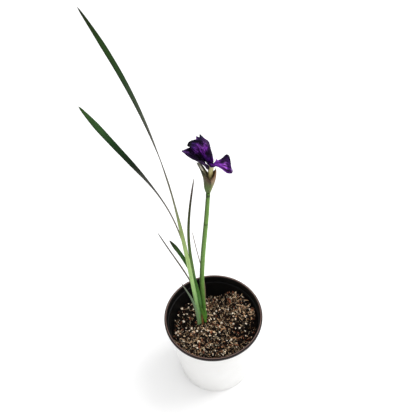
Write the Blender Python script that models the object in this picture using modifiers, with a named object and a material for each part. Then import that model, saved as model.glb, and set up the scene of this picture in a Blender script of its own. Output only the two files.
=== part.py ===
"""Potted Siberian iris: nursery pot, potting mix, one flower stem with an open flower, and its leaves.

Metres, +Z up. The origin is the centre of the pot's underside, and the side seen from the front faces -Y.
"""

import math

import bmesh
import bpy
import numpy as np

MM = 0.001
GAP = 0.3 * MM

# Nursery pot
POT_HEIGHT = 152.5 * MM
RIM_RADIUS = 82.5 * MM
RIM_DROP = 4.5 * MM
WALL = 1.5 * MM
WALL_TOP_RADIUS = 79.5 * MM
BASE_RADIUS = 65 * MM
STEP_BELOW_RIM = 15 * MM
STEP_IN = 1 * MM
FLOOR = 2 * MM
POT_STEPS = 48
DRAIN_HOLES = 6
DRAIN_RADIUS = 5 * MM
DRAIN_CIRCLE = 48 * MM

# Potting mix
SOIL_LEVEL = 102 * MM
SOIL_RISE = 26 * MM
HEAP_FOOT = 4 * MM
HEAP_RUN = 42 * MM
BANK_RISE = 10 * MM
SOIL_BUMP = 1.6 * MM
SOIL_STEPS = 48
SOIL_RINGS = 13
DIMPLE_DEPTH = 3 * MM
DIMPLE_RADIUS = 28 * MM
DIMPLE_CENTRE = (-20.5 * MM, 24.5 * MM)

# Flower stem
STEM_FOOT = (-14.9, 28.7, 99.5)
STEM_LENGTH = 323.5
STEM_AZIMUTH = -15
STEM_LEANS = (-2.6, 1.5, 5.2, 6.4, 5.0)
STEM_RADII = (3.8, 4.1, 3.9, 3.8, 3.7, 3.5, 3.3, 2.9)

# Flower
TUBE_TOP = (11.2, 23.2, 473.0)
LEAF_THICK = 0.9
PETAL_THICK = 0.6


def smooth(stations, t):
    """Values at the places t (0 to 1) of a smooth line through evenly spaced stations."""
    p = np.asarray(stations, float)
    last = len(p) - 1
    x = np.clip(t, 0, 1) * last
    i = np.minimum(x.astype(int), last - 1)
    f = x - i
    a, b, c, d = p[np.maximum(i - 1, 0)], p[i], p[i + 1], p[np.minimum(i + 2, last)]
    return b + 0.5 * f * (c - a + f * (2 * a - 5 * b + 4 * c - d + f * (3 * (b - c) + d - a)))


def spine(foot, length, azimuths, leans, t):
    """Points, outward and sideways directions of a line that grows from foot, at the places t.

    Its lean is measured from upright, and its azimuth from +X towards +Y, in degrees at even stations.
    """
    fine = (np.arange(200) + 0.5) / 200
    lean = np.radians(smooth(leans, fine))
    turn = np.radians(smooth(azimuths, fine))
    step = np.stack([np.sin(lean) * np.cos(turn), np.sin(lean) * np.sin(turn), np.cos(lean)], 1)
    line = np.concatenate([[foot], foot + np.cumsum(step, 0) * length / 200])
    at = np.linspace(0, 1, 201)
    points = np.stack([np.interp(t, at, line[:, k]) for k in range(3)], 1)
    lean = np.radians(smooth(leans, t))
    turn = np.radians(smooth(azimuths, t))
    outward = np.stack([np.cos(lean) * np.cos(turn), np.cos(lean) * np.sin(turn), -np.sin(lean)], 1)
    sideways = np.stack([-np.sin(turn), np.cos(turn), np.zeros_like(turn)], 1)
    return points, outward, sideways


def material(name, colour, roughness=0.5):
    made = bpy.data.materials.get(name)
    if made is None:
        made = bpy.data.materials.new(name)
        made.use_nodes = True
        shader = made.node_tree.nodes["Principled BSDF"]
        shader.inputs["Base Color"].default_value = (*colour, 1)
        shader.inputs["Roughness"].default_value = roughness
    return made


def put(name, mesh, collection, slot):
    made = bpy.data.objects.new(name, mesh)
    collection.objects.link(made)
    mesh.materials.clear()
    mesh.materials.append(slot)
    mesh.shade_smooth()
    return made


def turned(name, profile, steps, collection, slot):
    """A solid turned round Z from a profile that runs down its outer side."""
    mesh = bpy.data.meshes.new(name)
    points = [(x, 0, z) for x, z in profile]
    mesh.from_pydata(points, [(i, i + 1) for i in range(len(points) - 1)], [])
    made = bpy.data.objects.new(name, mesh)
    collection.objects.link(made)
    screw = made.modifiers.new("turn", "SCREW")
    screw.steps = steps
    screw.render_steps = steps
    screw.use_merge_vertices = True
    screw.merge_threshold = 0.00005
    mesh.materials.append(slot)
    return made


def baked(made):
    """Replaces the object's mesh by what its modifiers make of it."""
    graph = bpy.context.evaluated_depsgraph_get()
    mesh = bpy.data.meshes.new_from_object(made.evaluated_get(graph))
    made.modifiers.clear()
    made.data = mesh
    mesh.name = made.name
    mesh.shade_smooth()
    return made


def blade(name, shape, across, along, thick, collection, slot):
    """A leaf, bract or petal: a grid bent along a spine and given thickness, in mm and degrees.

    widths run along the arc of the section; wraps are half the angle that the section curls through;
    twists turn the width from sideways (0) to outward (90); ruffle is (height, waves, start) at the edges;
    sweeps move the spine sideways; notch is the depth of a cleft in the tip, and tip how far from the
    point the outline starts to round off, both as shares of the length.
    """
    bm = bmesh.new()
    bmesh.ops.create_grid(bm, x_segments=across, y_segments=along, size=1)
    u = np.array([v.co.x for v in bm.verts])
    t = np.array([(v.co.y + 1) / 2 for v in bm.verts])
    t = t - shape.get("notch", 0) * t**3 * (1 - np.abs(u) ** 1.5)
    points, outward, sideways = spine(
        np.array(shape["foot"], float), shape["length"], shape["azimuths"], shape["leans"], t
    )
    twist = np.radians(smooth(shape["twists"], t))[:, None]
    side = np.cos(twist) * sideways + np.sin(twist) * outward
    face = np.cos(twist) * outward - np.sin(twist) * sideways
    rounding = np.sqrt(np.clip((1 - t) / shape.get("tip", 1e-6), 0, 1))
    half = np.maximum(smooth(shape["widths"], t) * rounding, 0.4) / 2
    wrap = np.radians(smooth(shape.get("wraps", (0.6, 0.6)), t))
    wrap = np.where(np.abs(wrap) < 0.01, 0.01, wrap)
    radius = half / wrap
    wave, waves, start = shape.get("ruffle", (0, 1, 0))
    rise = wave * u * u * np.minimum(t * 2, 1) * np.sin(2 * np.pi * (waves * t + start) + u)
    drift = smooth(shape.get("sweeps", (0, 0)), t)
    points = points + side * (drift + radius * np.sin(u * wrap))[:, None]
    points = points + face * (rise - radius * (1 - np.cos(u * wrap)))[:, None]
    for vert, point in zip(bm.verts, points * MM):
        vert.co = point
    mesh = bpy.data.meshes.new(name)
    bm.to_mesh(mesh)
    bm.free()
    made = put(name, mesh, collection, slot)
    solid = made.modifiers.new("thickness", "SOLIDIFY")
    solid.thickness = thick * MM
    solid.offset = 0
    return baked(made)


def ease(value):
    """Runs smoothly from 0 to 1 as the value does."""
    value = np.clip(value, 0, 1)
    return value * value * (3 - 2 * value)


def soil_height(x, y):
    """Height of the mix at (x, y): a heap at the right, a low bank at the left, a dimple at the plant."""
    heap = SOIL_RISE * ease((x - HEAP_FOOT) / HEAP_RUN) * (0.4 + 0.6 * ease((y + 30 * MM) / (45 * MM)))
    bank = BANK_RISE * ease((-x - 28 * MM) / (36 * MM)) * ease((y - 5 * MM) / (45 * MM))
    clods = 0
    for k, (reach, turn) in enumerate(((21, 0.4), (15, 1.7), (12, 2.9), (9, 4.2))):
        wave = 2 * math.pi / (reach * MM)
        clods = clods + np.sin(wave * (x * math.cos(turn) + y * math.sin(turn)) + 1.3 * k)
    away = np.hypot(x - DIMPLE_CENTRE[0], y - DIMPLE_CENTRE[1]) / DIMPLE_RADIUS
    near = ease((1 - away) / 0.4)
    return SOIL_LEVEL + (1 - near) * (heap + bank + SOIL_BUMP * clods * 0.6) - near * DIMPLE_DEPTH


def inner_radius(z):
    """Radius of the pot's inner wall at the height z, below the step."""
    return BASE_RADIUS - WALL + (WALL_TOP_RADIUS - BASE_RADIUS) * z / POT_HEIGHT - STEP_IN * 0.5


def build_pot(collection):
    top = POT_HEIGHT
    low = top - STEP_BELOW_RIM
    inner_top = WALL_TOP_RADIUS - WALL
    roll = (RIM_RADIUS - inner_top) / 2
    middle = inner_top + roll
    profile = [(0, FLOOR), (BASE_RADIUS - WALL - 3 * MM, FLOOR), (inner_radius(5 * MM), 5 * MM)]
    profile += [(inner_radius(low), low), (inner_top, low + 2 * MM), (inner_top, top - roll)]
    for k in range(1, 6):
        angle = math.pi * (1 - k / 6)
        profile.append((middle + roll * math.cos(angle), top - roll + roll * math.sin(angle)))
    profile += [(RIM_RADIUS, top - roll), (RIM_RADIUS, top - RIM_DROP)]
    profile += [(RIM_RADIUS - 1 * MM, top - RIM_DROP), (RIM_RADIUS - 1 * MM, top - RIM_DROP + 1.5 * MM)]
    profile += [(WALL_TOP_RADIUS, top - RIM_DROP + 1.5 * MM)]
    profile += [(BASE_RADIUS, 3 * MM), (BASE_RADIUS - 2.5 * MM, 0), (0, 0)]
    pot = turned("pot", profile, POT_STEPS, collection, material("pot_plastic", (0.85, 0.84, 0.82), 0.4))
    cutters = bpy.data.collections.new("cutters")
    bpy.context.scene.collection.children.link(cutters)
    bm = bmesh.new()
    for k in range(DRAIN_HOLES):
        angle = 2 * math.pi * (k + 0.5) / DRAIN_HOLES
        made = bmesh.ops.create_cone(
            bm, cap_ends=True, segments=12, radius1=DRAIN_RADIUS, radius2=DRAIN_RADIUS, depth=3 * FLOOR
        )
        place = (DRAIN_CIRCLE * math.cos(angle), DRAIN_CIRCLE * math.sin(angle), FLOOR / 2)
        bmesh.ops.translate(bm, verts=made["verts"], vec=place)
    mesh = bpy.data.meshes.new("drain_cutter")
    bm.to_mesh(mesh)
    bm.free()
    cutter = bpy.data.objects.new("drain_cutter", mesh)
    cutters.objects.link(cutter)
    cutter.hide_render = True
    cutter.display_type = "WIRE"
    cut = pot.modifiers.new("drains", "BOOLEAN")
    cut.operation = "DIFFERENCE"
    cut.solver = "EXACT"
    cut.object = cutter
    baked(pot)


def build_soil(collection):
    edge = inner_radius(SOIL_LEVEL) - GAP
    profile = [(edge * k / SOIL_RINGS, SOIL_LEVEL) for k in range(SOIL_RINGS + 1)]
    foot = 5 * MM
    profile += [(inner_radius(foot) - GAP, foot), (BASE_RADIUS - WALL - 3.5 * MM, FLOOR + GAP)]
    profile += [(0, FLOOR + GAP)]
    soil = turned("soil", profile, SOIL_STEPS, collection, material("potting_mix", (0.05, 0.03, 0.02), 0.9))
    baked(soil)
    for vert in soil.data.vertices:
        if vert.co.z > SOIL_LEVEL - 1 * MM:
            x, y = vert.co.x, vert.co.y
            height = float(soil_height(x, y))
            grown = (inner_radius(height) - GAP) / edge
            vert.co = (x * grown, y * grown, height)


def build_stem(collection):
    t = np.linspace(0, 1, 15)
    points, _, _ = spine(np.array(STEM_FOOT), STEM_LENGTH, (STEM_AZIMUTH,) * 2, STEM_LEANS, t)
    radii = smooth(STEM_RADII, t)
    curve = bpy.data.curves.new("flower_stem", "CURVE")
    curve.dimensions = "3D"
    curve.bevel_depth = 1 * MM
    curve.bevel_resolution = 3
    curve.use_fill_caps = True
    line = curve.splines.new("POLY")
    line.points.add(len(t) - 1)
    for point, place, radius in zip(line.points, points, radii):
        point.co = (*(place * MM), 1)
        point.radius = radius
    stem = bpy.data.objects.new("flower_stem", curve)
    collection.objects.link(stem)
    curve.materials.append(material("stem_green", (0.16, 0.3, 0.06)))


def build_leaves(collection):
    leaves = {
        "leaf_long": dict(
            foot=(-23.9, 17.2, 99.5), length=612, azimuths=(183, 183), leans=(2.4, 3.1, 5.2, 12.6, 21.9),
            widths=(5.5, 6.3, 6.5, 6.4, 5.8, 5.6, 5.8, 6.3, 6.5, 5.9, 5.5),
            twists=(85, 85, 85, 88, 110, 150, 157, 183, 208, 238, 245), tip=0.075,
        ),
        "leaf_arching": dict(
            foot=(-22.4, 23.3, 99.5), length=481, azimuths=(164, 164), leans=(1, 4.8, 10.8, 31.9, 31.6),
            widths=(5, 5.5, 5.5, 5.5, 5.5, 5.5, 6, 6.6, 7.3, 8.3, 7.9),
            twists=(90, 92, 103, 122, 136, 134, 131, 116, 66, 50, 45), tip=0.07,
        ),
        "leaf_upright": dict(
            foot=(-22.3, 29.8, 99.5), length=352, azimuths=(155, 155), leans=(2.4, 2.6, 1.2, -7, -10.8),
            widths=(4.5, 6, 7, 6.8, 6, 5, 4.4, 4, 3.4, 2.8, 1.7),
            twists=(85, 75, 65, 60, 60, 60, 62, 68, 70, 72, 75), tip=0.04,
        ),
        "leaf_thin": dict(
            foot=(-27, 28, 99.5), length=236, azimuths=(168, 168), leans=(-9, 4, 16.7, 20.8, 18.9),
            widths=(3.5, 4, 4, 4, 3.8, 3.5, 3.1, 2.8, 2.5, 2.2, 1.7),
            twists=(90, 110, 130, 145, 160, 172, 180, 182, 182, 182, 182), tip=0.05,
        ),
        "leaf_dark": dict(
            foot=(-24.5, 21, 99.5), length=231, azimuths=(174, 174), leans=(-6, -0.5, 7.6, 16.1, 25.4),
            widths=(4, 4.5, 5, 5, 5, 5, 5, 5.4, 6, 6.2, 6),
            twists=(85, 80, 80, 75, 75, 75, 70, 66, 60, 55, 55), tip=0.07,
        ),
        "leaf_dry": dict(
            foot=(-17, 37, 99.5), length=223, azimuths=(150, 150), leans=(-9, -3.3, 3.5, 7.9, 5.1),
            widths=(2, 2, 2, 2, 2, 1.9, 1.8, 1.7, 1.6, 1.5, 1.2),
            twists=(60, 80, 100, 110, 110, 110, 110, 110, 110, 110, 110), tip=0.03,
        ),
        "leaf_low": dict(
            foot=(-26.5, 15.2, 99.5), length=141, azimuths=(200, 200), leans=(0, 4, 8.5, 14.5, 15.9),
            widths=(4, 4.5, 4.6, 4.4, 4, 3.6, 3.1, 2.6, 2, 1.2),
            twists=(100, 100, 98, 95, 92, 90, 85, 80, 78, 78), tip=0.05,
        ),
        "leaf_sheath": dict(
            foot=(-14, 19, 99.5), length=72, azimuths=(181, 181), leans=(4, 8, 9, 6),
            widths=(4, 5, 4.5, 3, 1.2), twists=(85, 85, 85, 85), tip=0.05,
        ),
        "sheath_dry": dict(
            foot=(-19.5, 15, 99.5), length=34, azimuths=(100, 100), leans=(0, 2, 6),
            widths=(3, 3.4, 3, 0.8), twists=(0, 10, 20),
        ),
    }
    green = material("leaf_green", (0.12, 0.25, 0.06))
    dry = material("dry_leaf", (0.35, 0.22, 0.13), 0.7)
    for name, shape in leaves.items():
        slot = dry if "dry" in name else green
        rows = max(8, min(22, int(shape["length"] / 22)))
        thick = 0.6 if "dry" in name else LEAF_THICK
        blade(name, shape, 2, rows, thick, collection, slot)


def flower_place(angle, out, up=1):
    """A place above the top of the flower's tube, out from its axis at this azimuth."""
    x, y, z = TUBE_TOP
    turn = math.radians(angle)
    return (x + out * math.cos(turn), y + out * math.sin(turn), z + up)


PETALS = {
    "fall_right": dict(
        foot=flower_place(-74, 4.9, -0.5), length=40, azimuths=(-84, -70, -14, 0, 13, 22),
        leans=(2, 28, 97, 108, 130, 152), widths=(7.5, 11, 13.5, 13, 19, 27.5, 24, 4),
        wraps=(36, 40, 28, 20, 14, 20), twists=(0, 0, -4, -12, -20, -24),
        ruffle=(1.0, 2.0, 0.1), sweeps=(0.6, 1.6, -0.6, 1.0, 1.6, -1),
    ),
    "fall_left": dict(
        foot=flower_place(184, 6.6, -6), length=50.3, azimuths=(200, 198, 195, 191),
        leans=(20, 37, 42, 40, 38),
        widths=(9.5, 21, 29.5, 30.5, 28, 17, 2), wraps=(50, 64, 62, 50, 45, 20), twists=(0, 0),
        ruffle=(1.0, 2.5, 0.3), sweeps=(0, -1.0, -1.6, -1.0, 0),
    ),
    "fall_back": dict(
        foot=flower_place(95, 4.6, 0), length=41, azimuths=(100, 114, 124, 128), leans=(20, 70, 68, 64, 62),
        widths=(8, 9, 13, 17.5, 14.5, 2), wraps=(52, 35, 30, 25), twists=(0, 0),
        ruffle=(1.0, 2.0, 0.6),
    ),
    "standard_front": dict(
        foot=flower_place(250, 2.6, 0.9), length=47, azimuths=(232, 212, 198, 188),
        leans=(14, 19, 19, 18, 14), widths=(7.4, 13.6, 15.3, 16.2, 16, 12),
        wraps=(30, 45, 40, 32, 20), twists=(-10, -45, -62, -70), sweeps=(-1.2, -0.9, 0, 0.5, 0.4),
        ruffle=(1.2, 2.2, 0.0), notch=0.16,
    ),
    "standard_left": dict(
        foot=flower_place(152, 3.2), length=41, azimuths=(155, 157, 165, 174), leans=(22, 32, 49, 70),
        widths=(3.2, 7.5, 13.5, 24.5, 23, 6), wraps=(30, 42, 46, 40), twists=(0, 0),
        ruffle=(1.3, 2.5, 0.5), sweeps=(0, -2.1, -3.4, 0.3, 2.5),
    ),
    "standard_right": dict(
        foot=flower_place(20, 2.2), length=49, azimuths=(60, 120, 165, 176, 178), leans=(6, 12, 20, 27, 31),
        widths=(3.5, 10, 14, 14, 13, 5), wraps=(30, 40, 45, 40, 25), twists=(60, 130, 170, 180, 180),
        ruffle=(1.2, 2.0, 0.8),
    ),
}

STYLES = {
    "style_right": dict(
        foot=flower_place(-60, 0.9), length=22, azimuths=(190, 185), leans=(8, 15, 18, 14),
        widths=(1.3, 2, 3, 2.6, 1.2), wraps=(20, 30, 30), twists=(0, 0),
    ),
    "style_left": dict(
        foot=flower_place(205, 0.9), length=24, azimuths=(184, 180), leans=(14, 20, 24, 22),
        widths=(1.3, 2.6, 4, 3.5, 1.2), wraps=(20, 30, 30), twists=(0, 0),
    ),
    "style_back": dict(
        foot=flower_place(90, 1.1), length=24, azimuths=(135, 140), leans=(16, 24, 28, 24),
        widths=(1.3, 2.6, 4, 3.5, 1.2), wraps=(20, 30, 30), twists=(0, 0),
    ),
}

BRACTS = {
    "bract_right": dict(
        foot=(8.1, 23.2, 423.2), length=47, azimuths=(-5, -5), leans=(19, 18, 7, -6),
        widths=(7.8, 14.2, 20.0, 21, 11, 1), wraps=(80, 92, 102, 96, 48, 20), twists=(0, 0),
    ),
    "bract_left": dict(
        foot=(1.9, 23.2, 423.2), length=57, azimuths=(185, 185), leans=(16, 0, 7, 18, 12),
        widths=(8.6, 21.2, 26.8, 20, 15, 1), wraps=(84, 97, 101, 76, 44, 20), twists=(0, 0),
        sweeps=(0, 0, 0, 0, -3.5, 0),
    ),
}

OVARY_FOOT = (5.3, 23.2, 423.0)
OVARY_RADII = (1.8, 2.2, 2.5, 2.8, 3.0, 3.3, 3.6, 3.6)


def build_flower(collection):
    purple = material("petal_purple", (0.05, 0.01, 0.13), 0.45)
    lilac = material("style_lilac", (0.18, 0.05, 0.35), 0.45)
    for name, shape in PETALS.items():
        blade(name, shape, 6, 12, PETAL_THICK, collection, purple)
    for name, shape in STYLES.items():
        blade(name, shape, 2, 6, PETAL_THICK, collection, lilac)


def build_spathe(collection):
    slot = material("spathe", (0.3, 0.2, 0.1), 0.6)
    for name, shape in BRACTS.items():
        blade(name, shape, 6, 10, 0.7, collection, slot)
    curve = bpy.data.curves.new("ovary", "CURVE")
    curve.dimensions = "3D"
    curve.bevel_depth = 1 * MM
    curve.bevel_resolution = 3
    curve.use_fill_caps = True
    line = curve.splines.new("POLY")
    line.points.add(len(OVARY_RADII) - 1)
    for k, radius in enumerate(OVARY_RADII):
        f = k / (len(OVARY_RADII) - 1)
        place = [(a + (b - a) * f) * MM for a, b in zip(OVARY_FOOT, TUBE_TOP)]
        line.points[k].co = (*place, 1)
        line.points[k].radius = radius
    tube = bpy.data.objects.new("ovary", curve)
    collection.objects.link(tube)
    curve.materials.append(material("tube_yellow_green", (0.45, 0.5, 0.2)))


def main():
    for old in list(bpy.data.objects):
        bpy.data.objects.remove(old)
    collection = bpy.data.collections.new("potted_siberian_iris")
    bpy.context.scene.collection.children.link(collection)
    build_pot(collection)
    build_soil(collection)
    build_stem(collection)
    build_leaves(collection)
    build_spathe(collection)
    build_flower(collection)


main()
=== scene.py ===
"""Potted Siberian iris: the finished surfaces of the pot, the mix, the leaves, the stem and the flower.

Metres, +Z up. The origin is the centre of the pot's underside, and the side seen from the front faces -Y.
"""

import math

import bmesh
import bpy
import numpy as np
from mathutils import Matrix, Vector, noise


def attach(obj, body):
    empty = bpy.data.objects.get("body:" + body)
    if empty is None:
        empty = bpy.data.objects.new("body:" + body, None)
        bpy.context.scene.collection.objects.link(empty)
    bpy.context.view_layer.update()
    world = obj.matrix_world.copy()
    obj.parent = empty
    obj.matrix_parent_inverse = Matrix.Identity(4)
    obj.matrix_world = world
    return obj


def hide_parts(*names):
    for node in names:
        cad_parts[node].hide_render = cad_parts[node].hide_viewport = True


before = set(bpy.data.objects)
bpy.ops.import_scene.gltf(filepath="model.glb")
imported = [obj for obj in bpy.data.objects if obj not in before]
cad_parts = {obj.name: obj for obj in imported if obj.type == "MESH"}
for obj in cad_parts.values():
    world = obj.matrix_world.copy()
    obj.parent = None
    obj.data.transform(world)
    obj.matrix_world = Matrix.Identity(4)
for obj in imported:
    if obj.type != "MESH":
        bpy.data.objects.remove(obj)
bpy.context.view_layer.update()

bl_info = {
    "name": "Potted Siberian Iris",
    "version": (1, 0, 0),
    "blender": (4, 5, 0),
    "location": "3D View > Sidebar > Iris",
    "description": "Builds a potted Siberian iris: pot, potting mix, leaves, stem and flower",
    "category": "Add Mesh",
}

MM = 0.001
BODY = "root"

# Where the plant stands, in mm from the centre of the pot's underside
STEM_FOOT = (-14.9, 28.7, 99.5)
STEM_LENGTH = 323.5
STEM_AZIMUTH = -15
STEM_LEANS = (-2.6, 1.5, 5.2, 6.4, 5.0)
STEM_RADII = (3.8, 4.1, 3.9, 3.8, 3.7, 3.5, 3.3, 2.9)
TUBE_TOP = (11.2, 23.2, 473.0)
OVARY_FOOT = (5.3, 23.2, 423.0)
OVARY_RADII = (1.8, 2.2, 2.5, 2.8, 3.0, 3.3, 3.6, 3.6)

# The camera that took the photo
IMAGE = 416
FOCAL_PIXELS = 560
SENSOR = 36
CAMERA_PLACE = (0.0033, -0.5051, 0.9635)
CAMERA_DOWN = math.radians(47.27)
CAMERA_ROLL = math.radians(-3.83)

# The rim's inner and outer radius
RIM_INNER = 78 * MM
RIM_OUTER = 82.5 * MM

# The pot: how far the step and the rim's lip lie below its top, and the drain holes in its floor
STEP_BELOW_RIM = 15 * MM
RIM_DROP = 4.5 * MM
DRAIN_HOLES = 6
DRAIN_CIRCLE = 48 * MM
DRAIN_RADIUS = 5 * MM

# Points nearer than this are one point
MERGE = 1e-6

# The key lamp: place, width and watts
KEY_PLACE = (0.9, 0.35, 1.7)
KEY_SIZE = 1.0
KEY_POWER = 18


# Lines and sheets

def smooth(stations, t):
    """Values at the places t (0 to 1) of a smooth line through evenly spaced stations."""
    p = np.asarray(stations, float)
    last = len(p) - 1
    x = np.clip(t, 0, 1) * last
    i = np.minimum(x.astype(int), last - 1)
    f = x - i
    a, b, c, d = p[np.maximum(i - 1, 0)], p[i], p[i + 1], p[np.minimum(i + 2, last)]
    return b + 0.5 * f * (c - a + f * (2 * a - 5 * b + 4 * c - d + f * (3 * (b - c) + d - a)))


def spine(foot, length, azimuths, leans, t):
    """Points, outward and sideways directions, at the places t, of a line that grows from foot."""
    fine = (np.arange(200) + 0.5) / 200
    lean = np.radians(smooth(leans, fine))
    turn = np.radians(smooth(azimuths, fine))
    step = np.stack([np.sin(lean) * np.cos(turn), np.sin(lean) * np.sin(turn), np.cos(lean)], 1)
    line = np.concatenate([[foot], foot + np.cumsum(step, 0) * length / 200])
    at = np.linspace(0, 1, 201)
    points = np.stack([np.interp(t, at, line[:, k]) for k in range(3)], 1)
    lean = np.radians(smooth(leans, t))
    turn = np.radians(smooth(azimuths, t))
    outward = np.stack([np.cos(lean) * np.cos(turn), np.cos(lean) * np.sin(turn), -np.sin(lean)], 1)
    sideways = np.stack([-np.sin(turn), np.cos(turn), np.zeros_like(turn)], 1)
    return points, outward, sideways


def grid_mesh(across, along):
    """A flat grid with its UVs, and the places of its points across (-1 to 1) and along (0 to 1)."""
    bm = bmesh.new()
    bm.loops.layers.uv.new("UVMap")
    bmesh.ops.create_grid(bm, x_segments=across, y_segments=along, size=1, calc_uvs=True)
    u = np.array([v.co.x for v in bm.verts])
    t = np.array([(v.co.y + 1) / 2 for v in bm.verts])
    return bm, u, t


def to_object(name, bm, materials):
    mesh = bpy.data.meshes.new(name)
    bm.to_mesh(mesh)
    bm.free()
    made = bpy.data.objects.new(name, mesh)
    bpy.context.scene.collection.objects.link(made)
    for one in materials:
        mesh.materials.append(one)
    mesh.shade_smooth()
    return made


def turned(profile, steps):
    """A round mesh: a profile of (radius, height) turned about the Z axis."""
    bm = bmesh.new()
    verts = [bm.verts.new((x, 0, z)) for x, z in profile]
    edges = [bm.edges.new(pair) for pair in zip(verts, verts[1:])]
    bmesh.ops.spin(
        bm, geom=verts + edges, axis=(0, 0, 1), cent=(0, 0, 0), angle=2 * math.pi,
        steps=steps, use_merge=True,
    )
    bmesh.ops.remove_doubles(bm, verts=bm.verts, dist=MERGE)
    bmesh.ops.recalc_face_normals(bm, faces=bm.faces)
    return bm


def baked(made):
    """Replaces the object's mesh by what its modifiers make of it."""
    graph = bpy.context.evaluated_depsgraph_get()
    mesh = bpy.data.meshes.new_from_object(made.evaluated_get(graph))
    made.modifiers.clear()
    made.data = mesh
    mesh.name = made.name
    return made


def blade(name, shape, across, along, thick, materials, edge=0.35, crimp=0.0):
    """A leaf, bract or petal: a grid bent along a spine and given thickness, in mm and degrees.

    edge is the thickness left at the two edges, as a share of thick, and crimp the height of the small folds.
    """
    bm, u, t = grid_mesh(across, along)
    t = t - shape.get("notch", 0) * t**3 * (1 - np.abs(u) ** 1.5)
    points, outward, sideways = spine(
        np.array(shape["foot"], float), shape["length"], shape["azimuths"], shape["leans"], t
    )
    twist = np.radians(smooth(shape["twists"], t))[:, None]
    side = np.cos(twist) * sideways + np.sin(twist) * outward
    face = np.cos(twist) * outward - np.sin(twist) * sideways
    rounding = np.sqrt(np.clip((1 - t) / shape.get("tip", 1e-6), 0, 1))
    half = np.maximum(smooth(shape["widths"], t) * rounding, 0.4) / 2
    wrap = np.radians(smooth(shape.get("wraps", (0.6, 0.6)), t))
    wrap = np.where(np.abs(wrap) < 0.01, 0.01, wrap)
    wave, waves, start = shape.get("ruffle", (0, 1, 0))
    rise = wave * u * u * np.minimum(t * 2, 1) * np.sin(2 * np.pi * (waves * t + start) + u)
    if crimp:
        fine = [
            noise.noise(Vector((a * 2.6 + 7 * start, b * 9, start * 20)))
            + 0.5 * noise.noise(Vector((a * 6.1, b * 21, start * 31)))
            for a, b in zip(u, t)
        ]
        rise = rise + crimp * np.array(fine) * (0.25 + 0.75 * u * u) * np.minimum(t * 3, 1)
        nibble = [noise.noise(Vector((np.sign(a) * 5, b * 26, start * 17))) for a, b in zip(u, t)]
        half = half + crimp * 0.7 * np.array(nibble) * np.minimum(t * 2, 1)
    drift = smooth(shape.get("sweeps", (0, 0)), t)
    radius = half / wrap
    points = points + side * (drift + radius * np.sin(u * wrap))[:, None]
    points = points + face * (rise - radius * (1 - np.cos(u * wrap)))[:, None]
    for vert, point in zip(bm.verts, points * MM):
        vert.co = point
    made = to_object(name, bm, materials)
    group = made.vertex_groups.new(name="thickness")
    for k, (a, b) in enumerate(zip(u, t)):
        group.add([k], float((1 - abs(a) ** 1.5) * min(1, (1 - b) * 8 + 0.3)), "REPLACE")
    solid = made.modifiers.new("thickness", "SOLIDIFY")
    solid.thickness = thick * MM
    solid.offset = 0
    solid.vertex_group = "thickness"
    solid.thickness_vertex_group = edge
    if len(materials) > 1:
        solid.material_offset = 1
    return baked(made)


def rod(name, points, radii, around, materials):
    """A closed round rod through points (mm), with a radius at each."""
    along = len(points) - 1
    bm, u, t = grid_mesh(around, along)
    row = np.rint(t * along).astype(int)
    points = np.asarray(points, float)
    forward = np.gradient(points, axis=0)
    forward /= np.linalg.norm(forward, axis=1)[:, None]
    left = np.cross(forward, (0, 1, 0))
    left /= np.linalg.norm(left, axis=1)[:, None]
    back = np.cross(forward, left)
    turn = u * math.pi
    ring = left[row] * np.cos(turn)[:, None] + back[row] * np.sin(turn)[:, None]
    placed = (points[row] + ring * np.asarray(radii)[row][:, None]) * MM
    for vert, point in zip(bm.verts, placed):
        vert.co = point
    bmesh.ops.remove_doubles(bm, verts=bm.verts, dist=MERGE)
    bmesh.ops.holes_fill(bm, edges=[e for e in bm.edges if e.is_boundary])
    bmesh.ops.recalc_face_normals(bm, faces=bm.faces)
    return to_object(name, bm, materials)


def keep(piece, slot, *nodes):
    """Fixes a finished piece to the body and lets it stand for these solids; slot is not used."""
    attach(piece, BODY)
    if nodes:
        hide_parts(*nodes)
    return piece


# Materials

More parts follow.
